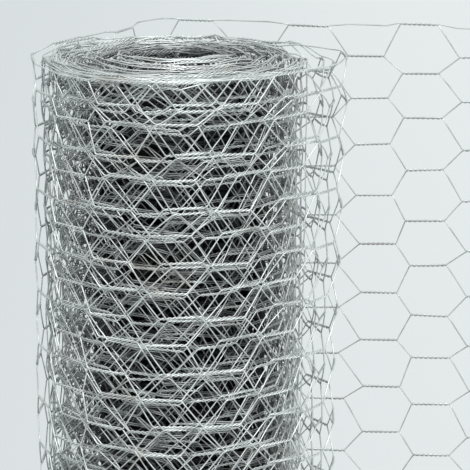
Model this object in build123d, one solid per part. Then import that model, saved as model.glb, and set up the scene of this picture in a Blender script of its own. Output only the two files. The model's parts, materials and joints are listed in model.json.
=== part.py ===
"""Roll of galvanised hexagonal wire netting, standing on end, with a loose outer turn and tail.

The frame is in millimetres. The roll's axis is Z, the floor is Z = 0 and the front faces -Y.
"""
import os
from math import atan2, cos, degrees, hypot, radians, sin, sqrt

from build123d import *

# Netting, as it is sold
NETTING_WIDTH = 500.0
MESH = 25.0
WIRE_DIAMETER = 0.7
TWIST_LENGTH = 20.0
DIAGONAL_RUN = 9.0

# Coil, slack towards the left and the front, with every fourth turn or so drawn on its ends
BORE_RADIUS = 22.0
COIL_RADIUS = 63.0
COIL_LEFT_OFFSET = 5.5
COIL_FRONT_OFFSET = 5.0
TURN_PITCH = 4.5
GROOVE_DEPTH = 8.0

# Loose turn seen from above, from where it peels off the coil round to its free end
PEEL_ANGLE = 58.0
PEEL_LENGTH = 39.5
RIGHT_BEND_RADIUS = 36.0
RIGHT_BEND_ANGLE = 88.0
FRONT_RADIUS = 96.0
FRONT_ANGLE = 54.0
LEFT_RADIUS = 67.5
LEFT_ANGLE = 124.0
BACK_LENGTH = 82.0
BACK_BEND_RADIUS = 17.0
BACK_BEND_ANGLE = 74.0
TAIL_LENGTH = 216.0

# Sizes that follow from the coil and the netting
COIL_OFFSET = hypot(COIL_LEFT_OFFSET, COIL_FRONT_OFFSET)
SLACK_ANGLE = degrees(atan2(-COIL_FRONT_OFFSET, -COIL_LEFT_OFFSET))
NETTING_THICKNESS = 2 * WIRE_DIAMETER
COLUMN_PITCH = TWIST_LENGTH + DIAGONAL_RUN
MESH_HEIGHT = NETTING_WIDTH - 2 * WIRE_DIAMETER
ROWS = max(1, round(MESH_HEIGHT / MESH))
ROW_PITCH = MESH_HEIGHT / ROWS
HALF_ROW = ROW_PITCH / 2
HALF_DIAGONAL_WIDTH = WIRE_DIAMETER / 2 * hypot(DIAGONAL_RUN, HALF_ROW) / HALF_ROW


def tangent_run(path, length):
    """Straight run on from the end of a path."""
    return path + [PolarLine(path[-1] @ 1, length, direction=path[-1] % 1)]


def tangent_bend(path, radius, angle):
    """Clockwise bend on from the end of a path."""
    return path + [JernArc(path[-1] @ 1, path[-1] % 1, radius, -angle)]


def turn_groove():
    """Spiral gap between the turns, as half circles that are wider apart on the coil's slack side."""
    turns = int((COIL_RADIUS - BORE_RADIUS) / TURN_PITCH)
    slack_pitch = (COIL_RADIUS + COIL_OFFSET - BORE_RADIUS) / turns
    tight_pitch = (COIL_RADIUS - COIL_OFFSET - BORE_RADIUS) / turns
    arcs = []
    for half_turn in range(2 * (turns - 2)):
        pitches = (slack_pitch, tight_pitch) if half_turn % 2 == 0 else (tight_pitch, slack_pitch)
        begin = BORE_RADIUS + pitches[0] * (1 + half_turn / 2)
        finish = BORE_RADIUS + pitches[1] * (1 + (half_turn + 1) / 2)
        begin_angle = SLACK_ANGLE + 180 * (half_turn % 2)
        shift = (begin - finish) / 2
        center = (shift * cos(radians(begin_angle)), shift * sin(radians(begin_angle)))
        arcs.append(CenterArc(center, (begin + finish) / 2, begin_angle, -180))
    return trace(arcs, tight_pitch - NETTING_THICKNESS)


def opening(center, low, high, widest):
    """Hole between two rows of twists: six-sided, or four-sided along a selvage."""
    heights = [low + WIRE_DIAMETER, high - WIRE_DIAMETER]
    if low < widest < high:
        heights.insert(1, widest)
    halves = []
    for height in heights:
        spread = DIAGONAL_RUN * (1 - abs(height - widest) / HALF_ROW)
        halves.append(TWIST_LENGTH / 2 + spread - HALF_DIAGONAL_WIDTH)
    left = [(center - half, height) for half, height in zip(halves, heights)]
    right = [(center + half, height) for half, height in zip(halves, heights)]
    return Wire.make_polygon(left + right[::-1])


def column_openings(center, staggered):
    """Holes of one column of the mesh, from selvage to selvage."""
    foot = WIRE_DIAMETER
    head = foot + MESH_HEIGHT
    if not staggered:
        lows = [foot + ROW_PITCH * row for row in range(ROWS)]
        return [opening(center, low, low + ROW_PITCH, low + HALF_ROW) for low in lows]
    lows = [foot + HALF_ROW + ROW_PITCH * row for row in range(ROWS - 1)]
    holes = [opening(center, low, low + ROW_PITCH, low + HALF_ROW) for low in lows]
    holes.append(opening(center, foot, foot + HALF_ROW, foot))
    holes.append(opening(center, head - HALF_ROW, head, head))
    return holes


def mesh_sheet(length, cut_end):
    """Flat stretch of mesh, standing; a cut end is left as the zigzag of its last wires."""
    columns = int((length - DIAGONAL_RUN) / COLUMN_PITCH)
    mesh_length = columns * COLUMN_PITCH + DIAGONAL_RUN
    mesh_end = length if cut_end else (length + mesh_length) / 2
    outline = [(0, 0)]
    if cut_end:
        notch = length - DIAGONAL_RUN
        outline.append((notch, 0))
        for row in range(ROWS):
            low = WIRE_DIAMETER + ROW_PITCH * row
            outline += [(notch, low), (length, low + HALF_ROW)]
        outline += [(notch, WIRE_DIAMETER + MESH_HEIGHT), (notch, NETTING_WIDTH)]
    else:
        outline += [(length, 0), (length, NETTING_WIDTH)]
    outline.append((0, NETTING_WIDTH))
    holes = []
    center = mesh_end - HALF_DIAGONAL_WIDTH - DIAGONAL_RUN - TWIST_LENGTH / 2
    for column in range(columns):
        holes += column_openings(center - column * COLUMN_PITCH, column % 2 == 1)
    return Face(Wire.make_polygon(outline), holes)


def stand_sheet(sheet, run):
    """Sheet of mesh stood up along a straight run of the plan, with its thickness."""
    along = run % 0
    upright = Plane(origin=run @ 0, x_dir=along, z_dir=along.cross(Vector(0, 0, 1)))
    return extrude(upright.location * sheet, amount=NETTING_THICKNESS / 2, both=True)


def coil_reach(angle):
    """Distance from the bore's axis to the coil's outside, in one direction."""
    along_offset = COIL_OFFSET * cos(radians(angle - SLACK_ANGLE))
    return along_offset + sqrt(COIL_RADIUS**2 - COIL_OFFSET**2 + along_offset**2)


def loose_turn_plan():
    """Centre line of the loose turn: the curved part, the back run, the back bend and the tail."""
    peel = radians(PEEL_ANGLE)
    seat_radius = coil_reach(PEEL_ANGLE) - NETTING_THICKNESS
    seat = (seat_radius * cos(peel), seat_radius * sin(peel))
    lap = [PolarLine(seat, PEEL_LENGTH, direction=(sin(peel), -cos(peel)))]
    lap = tangent_bend(lap, RIGHT_BEND_RADIUS, RIGHT_BEND_ANGLE)
    lap = tangent_bend(lap, FRONT_RADIUS, FRONT_ANGLE)
    lap = tangent_bend(lap, LEFT_RADIUS, LEFT_ANGLE)
    back_run = tangent_run(lap, BACK_LENGTH)[-1]
    back_bend = tangent_bend([back_run], BACK_BEND_RADIUS, BACK_BEND_ANGLE)[-1]
    tail = tangent_run([back_bend], TAIL_LENGTH)[-1]
    return lap, back_run, back_bend, tail


def netting_roll():
    """The whole length of netting: coil, loose turn and tail, in one solid."""
    lap, back_run, back_bend, tail = loose_turn_plan()
    coil = Pos(-COIL_LEFT_OFFSET, -COIL_FRONT_OFFSET) * Circle(COIL_RADIUS)
    plan = coil - Circle(BORE_RADIUS) + trace(lap, NETTING_THICKNESS)
    roll = extrude(plan, NETTING_WIDTH)
    groove = extrude(turn_groove(), GROOVE_DEPTH)
    roll -= groove
    roll -= Pos(0, 0, NETTING_WIDTH - GROOVE_DEPTH) * groove
    roll += stand_sheet(mesh_sheet(BACK_LENGTH, cut_end=False), back_run)
    roll += extrude(trace([back_bend], NETTING_THICKNESS), NETTING_WIDTH)
    roll += stand_sheet(mesh_sheet(TAIL_LENGTH, cut_end=True), tail)
    return roll


os.makedirs("parts", exist_ok=True)
export_step(netting_roll(), "parts/netting_roll.step")
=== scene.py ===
"""Looks of the roll of wire netting: each of its wires, their finish, the light and the camera."""
import json
from math import pi, radians, tau

import bpy
import numpy as np
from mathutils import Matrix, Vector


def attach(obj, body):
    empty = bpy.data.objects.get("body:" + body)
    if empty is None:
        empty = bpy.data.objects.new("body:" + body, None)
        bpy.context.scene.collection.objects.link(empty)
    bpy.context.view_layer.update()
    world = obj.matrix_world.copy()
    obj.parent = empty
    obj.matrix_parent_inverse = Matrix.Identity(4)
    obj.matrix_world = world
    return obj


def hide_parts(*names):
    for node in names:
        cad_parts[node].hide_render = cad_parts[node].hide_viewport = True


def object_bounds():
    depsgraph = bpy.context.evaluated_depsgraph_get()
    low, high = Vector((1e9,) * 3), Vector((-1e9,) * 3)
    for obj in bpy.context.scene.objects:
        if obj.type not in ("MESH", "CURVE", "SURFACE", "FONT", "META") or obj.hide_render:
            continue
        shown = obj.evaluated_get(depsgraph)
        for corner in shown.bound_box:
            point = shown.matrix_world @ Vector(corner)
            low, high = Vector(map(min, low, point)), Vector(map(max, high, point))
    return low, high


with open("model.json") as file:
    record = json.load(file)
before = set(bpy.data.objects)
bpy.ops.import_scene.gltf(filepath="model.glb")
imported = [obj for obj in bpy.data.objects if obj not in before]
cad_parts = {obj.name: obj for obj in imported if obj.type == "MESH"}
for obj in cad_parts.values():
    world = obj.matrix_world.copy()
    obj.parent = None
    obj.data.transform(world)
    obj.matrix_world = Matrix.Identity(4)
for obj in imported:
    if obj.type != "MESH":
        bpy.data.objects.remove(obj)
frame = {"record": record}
cad_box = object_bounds()

# Lengths are in metres, and the mesh of the netting is the solid's
MM = 0.001
WIRE_RADIUS = 0.35 * MM
TWIST_LENGTH = 20 * MM
DIAGONAL_RUN = 9 * MM
ROWS = 20

# What only the wires have: the strands of a twist, the whole length, and the stubs at the cut end
TWIST_TURNS = 4
TWIST_SPREAD = 1.25 * WIRE_RADIUS
ROLL_LENGTH = 10.0
CUT_STUB = 4 * MM

# Coil in plan, as in the solid: round, and off the bore's axis. Its last turn stays clear of the bore.
COIL_RADIUS = 63 * MM
COIL_OFFSET = np.array([-5.5, -5.0]) * MM
BORE_CLEARANCE = 2.0 * MM

# Loose turn in plan, as in the solid: from where it peels off the coil round to its free end
PEEL_ANGLE = radians(58)
PEEL_LENGTH = 39.5 * MM
LOOSE_BENDS = (
    (36 * MM, radians(88)),
    (96 * MM, radians(54)),
    (67.5 * MM, radians(124)),
)
BACK_LENGTH = 82 * MM
BACK_BEND = (17 * MM, radians(74))
TAIL_LENGTH = 216 * MM
PLAN_STEP = 0.5 * MM

# Where the back run sags to the coil, by the length from the free end
BACK_SAG = 5 * MM
BACK_SAG_PLACE = 264 * MM
BACK_SAG_SPREAD = 29 * MM

# How the first turns bulge on the right: by the cosine of the angle, and by turns as it grows and fades
RIGHT_BULGE = 15.5 * MM
RIGHT_BULGE_COSINES = (0.62, 0.95)
RIGHT_BULGE_GROWTH = (0, 0.12)
RIGHT_BULGE_FULL = 0.84
RIGHT_BULGE_FADE = 1.6
BULGED_TURNS = 3

# Columns of twists counted from the free end, and where on the netting they come in the photograph
PHOTO_COLUMNS = (0, 3, 4, 5, 7, 9, 16, 17, 18)
PHOTO_PLACES = np.array([-4, 85, 112.5, 143, 202.5, 259, 435, 463.5, 492.5]) * MM

# Heights of the half rows in the photograph, down from the upper selvage. The tail's hold up to one
# column, the front's from another, and they change over between the two.
LAST_TAIL_COLUMN = 6
TAIL_ROWS = np.array([0, 14.5, 24, 37.5, 49, 63.5, 75, 89.5, 101.5, 116,
                      127, 142, 152.5, 168.5, 177, 193.5, 203, 219, 231]) * MM
FIRST_FRONT_COLUMN = 15
FRONT_ROWS = np.array([0, 11.5, 20.5, 35, 45.5, 61, 73, 87, 99.5, 113,
                       125.5, 140, 153, 167.5, 179.5]) * MM

# How the turns of the coil lie on each other: closer outside, with columns that drift from turn to turn
OUTER_CROWDING = 1.5
TURN_FIT_DEGREE = 3
COLUMN_DRIFT = 1.0
COLUMN_DRIFT_WAVE = 12.0

# How unevenly each twist was made, and how nearly straight it stays round the coil
TWIST_SEED = 7
ROW_WANDER = 0.7 * MM
EDGE_WANDER = 1.1 * MM
COLUMN_WANDER = 0.5 * MM
DEPTH_WANDER = 0.25 * MM
LENGTH_WANDER = 0.04
TILT_WANDER = 0.02
TAIL_TILT = -0.05
CHORD_SHARE = 0.7

# Smooth noise is a sum of sines of these relative lengths, with a seed for each kind of unevenness
NOISE_STRETCHES = (1, 1.7, 2.9, 0.61)
NOISE_SPAN = 2.4
NOISE_SEEDS = {
    "columns": 12,
    "rows": 13,
    "inner rows": 9,
    "sheet along": 3,
    "sheet up": 4,
    "stray": 8,
    "bunching": 10,
    "narrowing by turn": 5,
    "narrowing along": 6,
}

# How the rows drift up and down, by turns near the outside and along the netting deeper in
ROW_DRIFT = 5 * MM
ROW_DRIFT_WAVE = 1.7
ROW_DRIFT_TURNS = (0.0, 3.0)
INNER_ROW_DRIFT = 9 * MM
INNER_ROW_DRIFT_WAVE = 0.21
INNER_ROW_DRIFT_TURNS = (6.0, 18.0)
ROW_DRIFT_DEPTH = 15 * MM

# How far the netting lies out of its plan: waves of the outer turns, and stray and bunched turns inside
SHEET_WAVE = 1.0 * MM
SHEET_WAVE_ALONG = 0.07
SHEET_WAVE_UP = 0.11
SHEET_SLANT_ALONG = 0.5
SHEET_SLANT_UP = 0.3
SHEET_WAVE_TURNS = 3
TURN_STRAY = 1.0 * MM
TURN_STRAY_WAVE = 0.05
TURN_BUNCHING = 1.2 * MM
TURN_BUNCHING_WAVE = 2.7
STRAY_TURNS = (0, 2)

# How the netting leans towards its free end going down, and is tucked in on the right
LEAN = 14 * MM
LEAN_SWEEP = 0.625 * pi
RIGHT_TUCK = 5 * MM
RIGHT_TUCK_FIRST_TURN = -0.55
RIGHT_TUCK_ACROSS = (45 * MM, 80 * MM)
RIGHT_TUCK_DOWN = (0, 200 * MM)

# How much lower some turns stand, less so at the front, and how the rim by the bore is raised there
NARROWING = 0.012
NARROWING_MEAN = 0.5
NARROWING_SWING = 0.35
NARROWING_TURN_WAVE = 1.3
NARROWING_WAVE = 0.06
NARROWING_TURNS = (-0.2, 1.5)
FRONT_NARROWING = 0.3
FRONT_TO_BACK = (-30 * MM, 30 * MM)
FRONT_RIM_RISE = 4.0 * MM
FRONT_RIM_TURNS = 14
FRONT_RIM_REACH = 20 * MM

# How fast the painted shade deepens going in: by turns from the outside, by depth from an end, which is
# less by the bore, and in the crease between two strands. The tail is painted a little darker than the
# coil.
TAIL_SHADE = 0.2
TAIL_SHADE_TURNS = (-0.5, -0.66)
SHADE_TURNS = (4.5, 25.0)
SHADE_DEPTH = 4.5 * MM
BORE_SHADE_DEPTH = 2.5 * MM
BORE_SHADE_TURNS = 8
CREASE_SHADE = 0.5

# Wires deep inside are drawn wider, so that the floor does not show through the whole coil
INSIDE_WIDENING = 4.5
WIDENING_TURNS = (17.0, 27.0)
WIDENING_DEPTH = 30 * MM

# Pieces of the model: name, first and last turn, wires, segments to a twist and to a diagonal, and sides
EDGE_WIRES = (2 * ROWS - 1, 2 * ROWS + 1)
FIELD_WIRES = tuple(wire for wire in range(2 * ROWS + 2) if wire not in EDGE_WIRES)
ALL_WIRES = tuple(range(2 * ROWS + 2))
PIECES = (
    ("tail", None, -0.6, ALL_WIRES, 24, 3, 5),
    ("loose_turn", -0.6, 0.0, ALL_WIRES, 24, 3, 5),
    ("outer_turns", 0.0, 2.2, ALL_WIRES, 16, 2, 4),
    ("middle_turns", 2.2, 8.0, FIELD_WIRES, 8, 1, 3),
    ("inner_turns", 8.0, 18.0, FIELD_WIRES, 2, 1, 3),
    ("core_turns", 18.0, None, FIELD_WIRES, 2, 1, 3),
    ("upper_edge", 2.2, None, EDGE_WIRES, 16, 1, 4),
)

# Cut ends of the wires on the map of a piece's faces: the rows kept for them, and their radius in cells
END_ROWS = 2
END_SPOT_RADIUS = 0.4

# Zinc where it is dull, bright and weathered, and the painted shade that darkens it far from the light
ZINC_DULL = (0.54, 0.575, 0.57)
ZINC_BRIGHT = (0.81, 0.855, 0.85)
WEATHERED = (0.42, 0.36, 0.29)
DEEP_SHADE = (0.02, 0.022, 0.022)
ZINC_METALLIC = 0.45
ZINC_ROUGHNESS = (0.34, 0.52)
WEATHERED_SHARES = (0, 0.4)

# Noise of each part of the finish: its scale to the metre and its detail, and the range that is used
SPANGLE_NOISE = (90, 4)
SPANGLE_RANGE = (0.32, 0.68)
WEATHERED_NOISE = (38, 3)
WEATHERED_RANGE = (0.58, 0.72)
ROUGHNESS_NOISE = (240, 2)
ROUGHNESS_RANGE = (0.3, 0.7)
GRAIN_NOISE = (1400, 2)
GRAIN_STRENGTH = 0.15
GRAIN_HEIGHT = 0.2 * MM

# Floor, whose right-hand colour is the backdrop's too, and whose darker left-hand colour is painted shade
FLOOR_SHADED_LEFT_COLOUR = (0.67, 0.71, 0.72)
FLOOR_RIGHT_COLOUR = (0.78, 0.82, 0.82)
FLOOR_SHADE_REACH = 0.45
FLOOR_ROUGHNESS = 0.9
FLOOR_SIZE = 40.0

# Light from all round, and the key light over it
AMBIENT_COLOUR = (0.95, 0.98, 1.0)
AMBIENT_STRENGTH = 0.22
KEY_ENERGY = 3.25
KEY_SOFTNESS = radians(15)
KEY_TILT = radians(40)
KEY_HEADING = radians(15)

# Camera, as the photograph was taken
FRAME_PIXELS = 470
FOCAL_PIXELS = 2600
CAMERA_PLACE = (24.9 * MM, -1243 * MM, 721 * MM)
CAMERA_PITCH = radians(14.06)
SENSOR = 36.0

# Sizes that follow from the frame and the netting
NETTING_WIDTH = cad_box[1][2] - cad_box[0][2]
BORE_RADIUS = frame["record"]["mounts"][0]["dims"]["r_mm"] * MM
NETTING_THICKNESS = 4 * WIRE_RADIUS
COLUMN_PITCH = TWIST_LENGTH + DIAGONAL_RUN
FOOT = 2 * WIRE_RADIUS


def smooth_step(values, start, end):
    """Rise from 0 to 1 between two values, level at both."""
    share = np.clip((values - start) / (end - start), 0, 1)
    return share * share * (3 - 2 * share)


def smooth_noise(values, wave, kind):
    """Sum of a few sines of unlike lengths, between about -1 and 1."""
    phases = np.random.default_rng(NOISE_SEEDS[kind]).uniform(0, tau, len(NOISE_STRETCHES))
    sines = [np.sin(tau * values / (wave * stretch) + phase)
             for stretch, phase in zip(NOISE_STRETCHES, phases)]
    return sum(sines) / NOISE_SPAN


def direction(heading):
    """Unit vector in plan."""
    return np.stack([np.cos(heading), np.sin(heading)], axis=-1)


def straight(point, heading, length):
    """Points of a straight run, after its start, and the heading at its end."""
    steps = np.linspace(0, length, max(2, int(length / PLAN_STEP)))[1:, None]
    return point + steps * direction(heading), heading


def bend(point, heading, radius, angle):
    """Points of a clockwise bend, after its start, and the heading at its end."""
    center = point + radius * direction(heading - pi / 2)
    turns = heading + pi / 2 - np.linspace(0, angle, max(2, int(radius * angle / PLAN_STEP)))[1:]
    return center + radius * direction(turns), heading - angle


def coil_outline(angle):
    """Distance from the bore's axis to the outside of the coil."""
    toward = direction(angle) @ COIL_OFFSET
    return toward + np.sqrt(COIL_RADIUS ** 2 - COIL_OFFSET @ COIL_OFFSET + toward ** 2)


def loose_turn_plan():
    """Plan of the loose turn and the tail, from the coil out to the free end."""
    runs = [(straight, (PEEL_LENGTH,))]
    runs += [(bend, sizes) for sizes in LOOSE_BENDS]
    runs += [(straight, (BACK_LENGTH,)), (bend, BACK_BEND), (straight, (TAIL_LENGTH,))]
    points = (coil_outline(PEEL_ANGLE) - NETTING_THICKNESS) * direction(PEEL_ANGLE)[None, :]
    heading = PEEL_ANGLE - pi / 2
    for run, sizes in runs:
        more, heading = run(points[-1], heading, *sizes)
        points = np.concatenate([points, more])
    return points


def coil_plan(loose):
    """Plan of the wound turns, from under the loose one in to the bore, and the turn of each point."""
    loose_length = np.hypot(*np.diff(loose, axis=0).T).sum()
    inner = BORE_RADIUS + BORE_CLEARANCE
    mean_radius = COIL_RADIUS - (COIL_RADIUS - inner) / (1 + OUTER_CROWDING)
    turns = (ROLL_LENGTH - loose_length) / (tau * mean_radius)
    turn = np.arange(0, turns, PLAN_STEP / (tau * COIL_RADIUS))
    angle = PEEL_ANGLE + tau * turn
    outer = coil_outline(angle) - NETTING_THICKNESS / 2
    rightward = smooth_step(np.cos(angle), *RIGHT_BULGE_COSINES) * smooth_step(turn, *RIGHT_BULGE_GROWTH)
    fade = np.exp(-(np.maximum(turn - RIGHT_BULGE_FULL, 0) / RIGHT_BULGE_FADE) ** 2)
    stood_off = BULGED_TURNS * rightward
    share = (np.maximum(turn - stood_off, 0) / (turns - stood_off)) ** OUTER_CROWDING
    radius = outer - (outer - inner) * share + RIGHT_BULGE * fade * rightward
    return radius[:, None] * direction(angle), turn


class Plan:
    """The netting's line in plan, by the length along it from the free end."""

    def __init__(self):
        loose = loose_turn_plan()
        coil, turn = coil_plan(loose)
        self.points = np.concatenate([loose[::-1], coil[1:]])
        self.along = np.concatenate([[0], np.cumsum(np.hypot(*np.diff(self.points, axis=0).T))])
        before = self.along[:len(loose)] / self.along[len(loose) - 1] - 1
        self.turn = np.concatenate([before, turn[1:]])
        tangent = np.gradient(self.points, axis=0)
        self.outward = np.stack([tangent[:, 1], -tangent[:, 0]], axis=1)
        self.outward /= np.hypot(*tangent.T)[:, None]
        sag = BACK_SAG * np.exp(-((self.along - BACK_SAG_PLACE) / BACK_SAG_SPREAD) ** 2)
        self.points -= sag[:, None] * self.outward

    def read(self, along, table):
        """A table of plan vectors, read at each length along the netting."""
        places = [np.interp(along, self.along, table[:, axis]) for axis in (0, 1)]
        past = np.minimum(along, 0)[..., None] * (self.points[1] - self.points[0]) / self.along[1]
        return np.stack(places, axis=-1) + (past if table is self.points else 0)


plan = Plan()


def column_places():
    """Middle of every column of twists along the netting, nearly a whole number of them to a turn."""
    wound = plan.turn >= 0
    turn, along = plan.turn[wound], plan.along[wound]
    turn_length = np.polyval(np.polyder(np.polyfit(turn, along, TURN_FIT_DEGREE)), turn)
    to_a_turn = np.round(turn_length / COLUMN_PITCH)
    first = PHOTO_COLUMNS[-1] + (along[0] - PHOTO_PLACES[-1]) / COLUMN_PITCH
    drift = COLUMN_DRIFT * smooth_noise(turn, COLUMN_DRIFT_WAVE, "columns")
    column = first + np.concatenate([[0], np.cumsum(to_a_turn[1:] * np.diff(turn))]) + drift - drift[0]
    columns = np.arange(int(column[-1]))
    return np.interp(columns, (*PHOTO_COLUMNS, *column), (*PHOTO_PLACES, *along))


def row_heights(rows, column):
    """Heights of the rows of twists: as photographed near the top, and from there evenly to the foot."""
    half_rows = 2 * (ROWS - rows)

    def from_top(known):
        steps = (*range(len(known)), 2 * ROWS)
        return np.interp(half_rows, steps, (*known, NETTING_WIDTH - 2 * FOOT))

    front = smooth_step(column, LAST_TAIL_COLUMN, FIRST_FRONT_COLUMN)
    return NETTING_WIDTH - FOOT - from_top(TAIL_ROWS) * (1 - front) - from_top(FRONT_ROWS) * front


def lattice():
    """Every twist by column and row: its middle along, up and out, its half length and its tilt."""
    rng = np.random.default_rng(TWIST_SEED)
    places = column_places()
    column = np.arange(len(places))[:, None]
    staggered = column % 2 == 0
    row = np.arange(ROWS + 1)[None, :]
    shape = (len(places), ROWS + 1)
    selvage = ~staggered & (row % ROWS == 0)
    along = places[:, None] + rng.normal(0, COLUMN_WANDER, shape)
    wander = np.where(selvage, EDGE_WANDER, ROW_WANDER) * rng.normal(0, 1, shape)
    up = row_heights(row + np.where(staggered, 1 / 2, 0), column) + wander
    out = rng.normal(0, DEPTH_WANDER, shape)
    half = TWIST_LENGTH / 2 * (1 + rng.normal(0, LENGTH_WANDER, shape))
    tilt = rng.normal(0, TILT_WANDER, shape) + TAIL_TILT * (column <= LAST_TAIL_COLUMN)
    tilt = np.where(selvage, 0, tilt)
    return along, up, out, half, tilt


def wire_twists():
    """The lattice as each wire meets it, with the strand's side of a twist and its spread."""
    tables = lattice()
    columns = np.arange(len(tables[0]))
    staggered = columns % 2 == 0
    wires = []

    def add(rows, side):
        met = [table[columns, rows] for table in tables]
        wires.append([*met, side, np.full(len(columns), TWIST_SPREAD)])

    for row in range(ROWS):
        add(row, np.where(staggered, -1, 1))
        add(np.where(staggered, row, row + 1), np.where(staggered, 1, -1))
    for row, side in ((0, -1), (ROWS, 1)):
        add(row, np.full(len(columns), side))
        _, up, _, _, tilt, _, spread = wires[-1]
        up[staggered] = row_heights(row, columns[staggered]) + side * WIRE_RADIUS
        tilt[staggered] = 0
        spread[staggered] = 0
    return [np.stack(values) for values in zip(*wires)]


TWISTS = wire_twists()


def wire_lines(wires, first, last, twist_steps, diagonal_steps):
    """Points along some wires from one column to another, with the chord of the twist that each is on."""
    along, up, out, half, tilt, side, spread = (table[wires, first:last + 1, None] for table in TWISTS)
    share = np.linspace(-1, 1, twist_steps + 1)
    angle = side * pi / 2 + tau * TWIST_TURNS * (share + 1) / 2
    place = along + half * share
    whole = np.ones_like(place)
    tables = {
        "along": place,
        "up": up + tilt * half * share + spread * np.sin(angle),
        "out": out + spread * np.cos(angle),
        "start": place[:, :, :1] * whole,
        "end": place[:, :, -1:] * whole,
        "share": (share + 1) / 2 * whole,
        "straightened": whole * CHORD_SHARE * (np.abs(share) < 1),
        "crease_up": -np.sin(angle) * (spread > 0) * whole,
        "crease_out": -np.cos(angle) * (spread > 0) * whole,
    }
    step = np.arange(1, diagonal_steps) / diagonal_steps

    def join(table):
        leave, reach = table[:, :-1, -1:], table[:, 1:, :1]
        cells = np.concatenate([table[:, :-1], leave + (reach - leave) * step], axis=2)
        return np.concatenate([cells.reshape(len(cells), -1), table[:, -1, :1]], axis=1)

    return {name: join(table) for name, table in tables.items()}


def row_drift(turn, along):
    """How far the rows of a turn lie above or below their place."""
    drift = ROW_DRIFT * smooth_noise(turn, ROW_DRIFT_WAVE, "rows")
    inner = INNER_ROW_DRIFT * smooth_noise(along, INNER_ROW_DRIFT_WAVE, "inner rows")
    return drift * smooth_step(turn, *ROW_DRIFT_TURNS) + inner * smooth_step(turn, *INNER_ROW_DRIFT_TURNS)


def sheet_offset(along, up, turn, to_bore):
    """How far the netting lies outside its plan."""
    wave = smooth_noise(along + SHEET_SLANT_ALONG * up, SHEET_WAVE_ALONG, "sheet along")
    wave = wave * smooth_noise(up - SHEET_SLANT_UP * along, SHEET_WAVE_UP, "sheet up")
    wave = SHEET_WAVE * wave * np.clip(1 - turn / SHEET_WAVE_TURNS, 0, 1)
    stray = TURN_STRAY * smooth_noise(along, TURN_STRAY_WAVE, "stray")
    stray = stray + TURN_BUNCHING * smooth_noise(turn, TURN_BUNCHING_WAVE, "bunching")
    return wave + stray * smooth_step(turn, *STRAY_TURNS) * smooth_step(to_bore, *STRAY_TURNS)


def right_tuck(flat, up, turn):
    """How far the loose turn and the coil are drawn in on the right, more so further down."""
    tuck = RIGHT_TUCK * (turn > RIGHT_TUCK_FIRST_TURN) * smooth_step(flat[..., 0], *RIGHT_TUCK_ACROSS)
    return tuck * smooth_step(NETTING_WIDTH - up, *RIGHT_TUCK_DOWN)


def height_share(flat, along, turn, to_bore):
    """Share of its height that each part of the netting stands at."""
    by_turn = smooth_noise(turn, NARROWING_TURN_WAVE, "narrowing by turn")
    by_length = smooth_noise(along, NARROWING_WAVE, "narrowing along")
    narrowed = NARROWING_MEAN + NARROWING_SWING * by_turn + NARROWING_SWING * by_length
    narrowed = NARROWING * np.clip(narrowed, 0, 1) * smooth_step(turn, *NARROWING_TURNS)
    backward = smooth_step(flat[..., 1], *FRONT_TO_BACK)
    narrowed = narrowed * (FRONT_NARROWING + (1 - FRONT_NARROWING) * backward)
    rise = FRONT_RIM_RISE / NETTING_WIDTH * smooth_step(-to_bore, -FRONT_RIM_TURNS, 0)
    return 1 - narrowed + rise * smooth_step(-flat[..., 1], 0, FRONT_RIM_REACH)


def depth_shade(turn, to_bore, from_end):
    """Painted shade of the wires inside the coil, away from its ends, and of the tail."""
    off_bore = smooth_step(to_bore, 0, BORE_SHADE_TURNS)
    fading = BORE_SHADE_DEPTH + (SHADE_DEPTH - BORE_SHADE_DEPTH) * off_bore
    inside = smooth_step(turn, *SHADE_TURNS) * (1 - np.exp(-from_end / fading))
    return inside + TAIL_SHADE * smooth_step(turn, *TAIL_SHADE_TURNS)


def drawn_radius(turn, from_end):
    """Radius of the wires, which is wider deep inside the coil."""
    widened = smooth_step(turn, *WIDENING_TURNS) * smooth_step(from_end, 0, WIDENING_DEPTH)
    return WIRE_RADIUS * (1 + INSIDE_WIDENING * widened)


def stand(lines):
    """Each point's place in space, way out of the netting, radius and painted shade, and the way to its
    crease.
    """
    up = lines["up"]
    lean = -LEAN * np.sin(LEAN_SWEEP * (NETTING_WIDTH - up) / NETTING_WIDTH)
    along = lines["along"] + lean
    turn = np.interp(along, plan.along, plan.turn)
    to_bore = plan.turn[-1] - turn
    from_end = np.minimum(up, NETTING_WIDTH - up)
    up = up + row_drift(turn, along) * np.clip(from_end / ROW_DRIFT_DEPTH, 0, 1)
    curve = plan.read(along, plan.points)
    start = plan.read(lines["start"] + lean, plan.points)
    end = plan.read(lines["end"] + lean, plan.points)
    chord = start + (end - start) * lines["share"][..., None]
    flat = curve + (chord - curve) * lines["straightened"][..., None]
    outward = plan.read(along, plan.outward)
    outward /= np.linalg.norm(outward, axis=-1, keepdims=True)
    offset = lines["out"] + sheet_offset(along, up, turn, to_bore)
    flat = flat + offset[..., None] * outward
    flat[..., 0] -= right_tuck(flat, up, turn)
    up = np.maximum(up * height_share(flat, along, turn, to_bore), WIRE_RADIUS)
    from_end = np.clip(np.minimum(up, NETTING_WIDTH - up), 0, None)
    space = np.concatenate([flat, up[..., None]], axis=-1)
    outward = np.concatenate([outward, np.zeros_like(up)[..., None]], axis=-1)
    crease = lines["crease_out"][..., None] * outward
    crease[..., 2] += lines["crease_up"]
    return space, outward, drawn_radius(turn, from_end), depth_shade(turn, to_bore, from_end), crease


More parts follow.
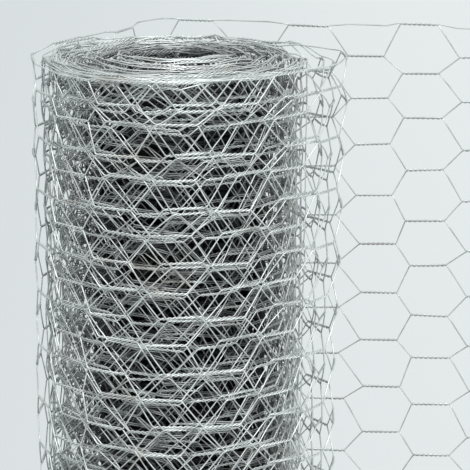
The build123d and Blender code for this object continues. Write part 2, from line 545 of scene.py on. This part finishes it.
def strip_map(wires, rings, sides):
    """Places of all faces' corners on a square map: the wires unrolled in strips, then their cut ends."""
    segments = wires * (rings - 1)
    columns = int(np.ceil(np.sqrt(segments * (sides + 1))))
    strips = -(-segments // columns)
    tall = strips * (sides + 1) + END_ROWS
    segment = np.arange(segments)[:, None]
    side = np.arange(sides)[None, :]
    left = np.broadcast_to(segment % columns, (segments, sides))
    low = (segment // columns) * (sides + 1) + side
    right, high = left + 1, low + 1
    walls = np.stack([left, low, left, high, right, high, right, low], axis=-1).reshape(-1, 2)
    spot = 1 / 2 + END_SPOT_RADIUS * direction(np.arange(sides) * tau / sides)
    ends = np.stack([np.arange(2 * wires), np.full(2 * wires, tall - END_ROWS)], axis=-1)
    ends = (ends[:, None] + spot).reshape(-1, 2)
    return (np.concatenate([walls, ends]) / (columns, tall)).astype(np.float32)


def tube_mesh(name, corners):
    """Mesh of tubes from their rings of corners, closed at their ends, with a map of its faces."""
    wires, rings, sides = corners.shape[:3]
    index = np.arange(wires * rings * sides).reshape(wires, rings, sides)
    beyond = np.roll(index, -1, axis=2)
    walls = np.stack([index[:, :-1], beyond[:, :-1], beyond[:, 1:], index[:, 1:]], axis=-1)
    walls = walls.reshape(-1, walls.shape[-1])
    ends = np.concatenate([index[:, 0, ::-1], index[:, -1]])
    wall_starts = np.arange(len(walls)) * walls.shape[-1]
    end_starts = walls.size + np.arange(len(ends)) * sides
    starts = np.concatenate([wall_starts, end_starts])
    mesh = bpy.data.meshes.new(name)
    mesh.vertices.add(index.size)
    mesh.vertices.foreach_set("co", corners.ravel())
    mesh.loops.add(walls.size + ends.size)
    mesh.loops.foreach_set("vertex_index", np.concatenate([walls.ravel(), ends.ravel()]))
    mesh.polygons.add(len(starts))
    mesh.polygons.foreach_set("loop_start", starts)
    mesh.polygons.foreach_set("use_smooth", np.ones(len(starts), dtype=bool))
    mesh.update(calc_edges=True)
    strips = mesh.uv_layers.new(name="OFBake")
    strips.data.foreach_set("uv", strip_map(wires, rings, sides).ravel())
    return mesh


def tubes(name, space, outward, radius, inside, crease, sides):
    """One piece of round wires along rows of points, with the painted shade of each of their corners."""
    tangent = np.gradient(space, axis=1)
    tangent /= np.linalg.norm(tangent, axis=-1, keepdims=True)
    across = outward - (outward * tangent).sum(-1, keepdims=True) * tangent
    across /= np.linalg.norm(across, axis=-1, keepdims=True)
    beside = np.cross(tangent, across)
    turn = np.arange(sides) * tau / sides
    ring = np.cos(turn)[:, None] * across[:, :, None] + np.sin(turn)[:, None] * beside[:, :, None]
    mesh = tube_mesh(name, space[:, :, None] + radius[:, :, None, None] * ring)
    # Painted shade in the crease between two strands, joined with the painted shade from inside the coil.
    creased = CREASE_SHADE * np.clip((ring * crease[:, :, None]).sum(-1), 0, 1)
    shade = mesh.attributes.new("shade", "FLOAT", "POINT")
    shade.data.foreach_set("value", (1 - (1 - inside[:, :, None]) * (1 - creased)).ravel())
    piece = bpy.data.objects.new(name, mesh)
    bpy.context.collection.objects.link(piece)
    return piece


def netting_pieces():
    """The whole length of netting, cut into pieces by turns, the inner ones with fewer faces."""
    made = []
    middles = TWISTS[0].mean(axis=0)

    def column_at(turn, otherwise):
        if turn is None:
            return otherwise
        return int(np.searchsorted(middles, np.interp(turn, plan.turn, plan.along)))

    for name, start, end, wires, twist_steps, diagonal_steps, sides in PIECES:
        first, last = column_at(start, 0), column_at(end, len(middles) - 1)
        lines = wire_lines(wires, first, last, twist_steps, diagonal_steps)
        if first == 0:
            cut = int(twist_steps * (1 - CUT_STUB / TWIST_LENGTH))
            lines = {key: table[:, cut:] for key, table in lines.items()}
        made.append(tubes(name, *stand(lines), sides))
    return made


def grey(value):
    """Colour with three equal parts."""
    return (value, value, value)


def galvanised_wire():
    """Dull zinc on steel, with a cloudy spangle, a little brown where it has weathered, and painted shade
    deep in the coil, in the creases of the twists and on the tail.
    """
    material = bpy.data.materials.new("galvanised_wire")
    material.use_nodes = True
    nodes, links = material.node_tree.nodes, material.node_tree.links
    shader = nodes["Principled BSDF"]
    shader.inputs["Metallic"].default_value = ZINC_METALLIC
    place = nodes.new("ShaderNodeTexCoord")

    def noise(scale, detail):
        texture = nodes.new("ShaderNodeTexNoise")
        texture.inputs["Scale"].default_value = scale
        texture.inputs["Detail"].default_value = detail
        links.new(place.outputs["Object"], texture.inputs["Vector"])
        return texture.outputs["Fac"]

    def ramp(factor, places, colours):
        band = nodes.new("ShaderNodeValToRGB")
        for stop, where, colour in zip(band.color_ramp.elements, places, colours):
            stop.position = where
            stop.color = (*colour, 1)
        links.new(factor, band.inputs["Fac"])
        return band.outputs["Color"]

    def mix(factor, under, over):
        blend = nodes.new("ShaderNodeMix")
        blend.data_type = "RGBA"
        blend.inputs["B"].default_value = (*over, 1)
        links.new(factor, blend.inputs["Factor"])
        links.new(under, blend.inputs["A"])
        return blend.outputs["Result"]

    zinc = ramp(noise(*SPANGLE_NOISE), SPANGLE_RANGE, (ZINC_DULL, ZINC_BRIGHT))
    brown = ramp(noise(*WEATHERED_NOISE), WEATHERED_RANGE, map(grey, WEATHERED_SHARES))
    # Painted shade: the shade attribute darkens the zinc towards DEEP_SHADE deep in the coil, in the
    # creases and on the tail.
    painted_shade_node = nodes.new("ShaderNodeAttribute")
    painted_shade_node.attribute_name = "shade"
    shaded = mix(painted_shade_node.outputs["Fac"], mix(brown, zinc, WEATHERED), DEEP_SHADE)
    links.new(shaded, shader.inputs["Base Color"])
    roughness = ramp(noise(*ROUGHNESS_NOISE), ROUGHNESS_RANGE, map(grey, ZINC_ROUGHNESS))
    links.new(roughness, shader.inputs["Roughness"])
    grain = nodes.new("ShaderNodeBump")
    grain.inputs["Strength"].default_value = GRAIN_STRENGTH
    grain.inputs["Distance"].default_value = GRAIN_HEIGHT
    links.new(noise(*GRAIN_NOISE), grain.inputs["Height"])
    links.new(grain.outputs["Normal"], shader.inputs["Normal"])
    return material


def dress(pieces):
    """Finish, body and node of every piece."""
    wire = galvanised_wire()
    for piece in pieces:
        piece.data.materials.append(wire)
        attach(piece, "root")
        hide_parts("netting_roll")


def floor():
    """Wide pale floor, which is also the background, with painted shade that makes it a little darker
    towards the left.
    """
    bpy.ops.mesh.primitive_plane_add(size=FLOOR_SIZE)
    plane = bpy.context.object
    plane.name = "floor"
    material = bpy.data.materials.new("floor")
    material.use_nodes = True
    nodes, links = material.node_tree.nodes, material.node_tree.links
    shader = nodes["Principled BSDF"]
    shader.inputs["Roughness"].default_value = FLOOR_ROUGHNESS
    place = nodes.new("ShaderNodeTexCoord")
    parts = nodes.new("ShaderNodeSeparateXYZ")
    links.new(place.outputs["Object"], parts.inputs["Vector"])
    across = nodes.new("ShaderNodeMapRange")
    across.interpolation_type = "SMOOTHSTEP"
    across.inputs["From Min"].default_value = -FLOOR_SHADE_REACH
    across.inputs["From Max"].default_value = FLOOR_SHADE_REACH
    links.new(parts.outputs["X"], across.inputs["Value"])
    # Painted shade: the floor's colour darkens towards the left.
    colour = nodes.new("ShaderNodeMix")
    colour.data_type = "RGBA"
    colour.inputs["A"].default_value = (*FLOOR_SHADED_LEFT_COLOUR, 1)
    colour.inputs["B"].default_value = (*FLOOR_RIGHT_COLOUR, 1)
    links.new(across.outputs["Result"], colour.inputs["Factor"])
    links.new(colour.outputs["Result"], shader.inputs["Base Color"])
    plane.data.materials.append(material)


def surroundings():
    """Weak light from all round, and a backdrop as pale as the floor, in reflections too."""
    world = bpy.data.worlds.new("studio")
    world.use_nodes = True
    nodes, links = world.node_tree.nodes, world.node_tree.links
    around = nodes["Background"]
    around.inputs["Color"].default_value = (*AMBIENT_COLOUR, 1)
    around.inputs["Strength"].default_value = AMBIENT_STRENGTH
    backdrop = nodes.new("ShaderNodeBackground")
    backdrop.inputs["Color"].default_value = (*FLOOR_RIGHT_COLOUR, 1)
    ray = nodes.new("ShaderNodeLightPath")
    seen = ray.outputs["Is Camera Ray"]
    for mirrored in ("Is Glossy Ray", "Is Transmission Ray"):
        either = nodes.new("ShaderNodeMath")
        either.operation = "MAXIMUM"
        links.new(seen, either.inputs[0])
        links.new(ray.outputs[mirrored], either.inputs[1])
        seen = either.outputs["Value"]
    choice = nodes.new("ShaderNodeMixShader")
    links.new(seen, choice.inputs["Fac"])
    links.new(around.outputs["Background"], choice.inputs[1])
    links.new(backdrop.outputs["Background"], choice.inputs[2])
    links.new(choice.outputs["Shader"], nodes["World Output"].inputs["Surface"])
    bpy.context.scene.world = world


def key_light():
    """Soft light from above and in front, a little from the right."""
    lamp = bpy.data.lights.new("key", "SUN")
    lamp.energy = KEY_ENERGY
    lamp.angle = KEY_SOFTNESS
    key = bpy.data.objects.new("key", lamp)
    key.rotation_euler = (KEY_TILT, 0, KEY_HEADING)
    bpy.context.collection.objects.link(key)


def camera():
    """Long lens above the roll, looking a little down on its top end."""
    lens = bpy.data.cameras.new("camera")
    lens.sensor_width = SENSOR
    lens.lens = SENSOR * FOCAL_PIXELS / FRAME_PIXELS
    eye = bpy.data.objects.new("camera", lens)
    eye.location = CAMERA_PLACE
    eye.rotation_euler = (pi / 2 - CAMERA_PITCH, 0, 0)
    bpy.context.collection.objects.link(eye)
    bpy.context.scene.camera = eye


dress(netting_pieces())
floor()
surroundings()
key_light()
camera()
bpy.context.scene.view_settings.view_transform = "Standard"

bpy.context.view_layer.update()
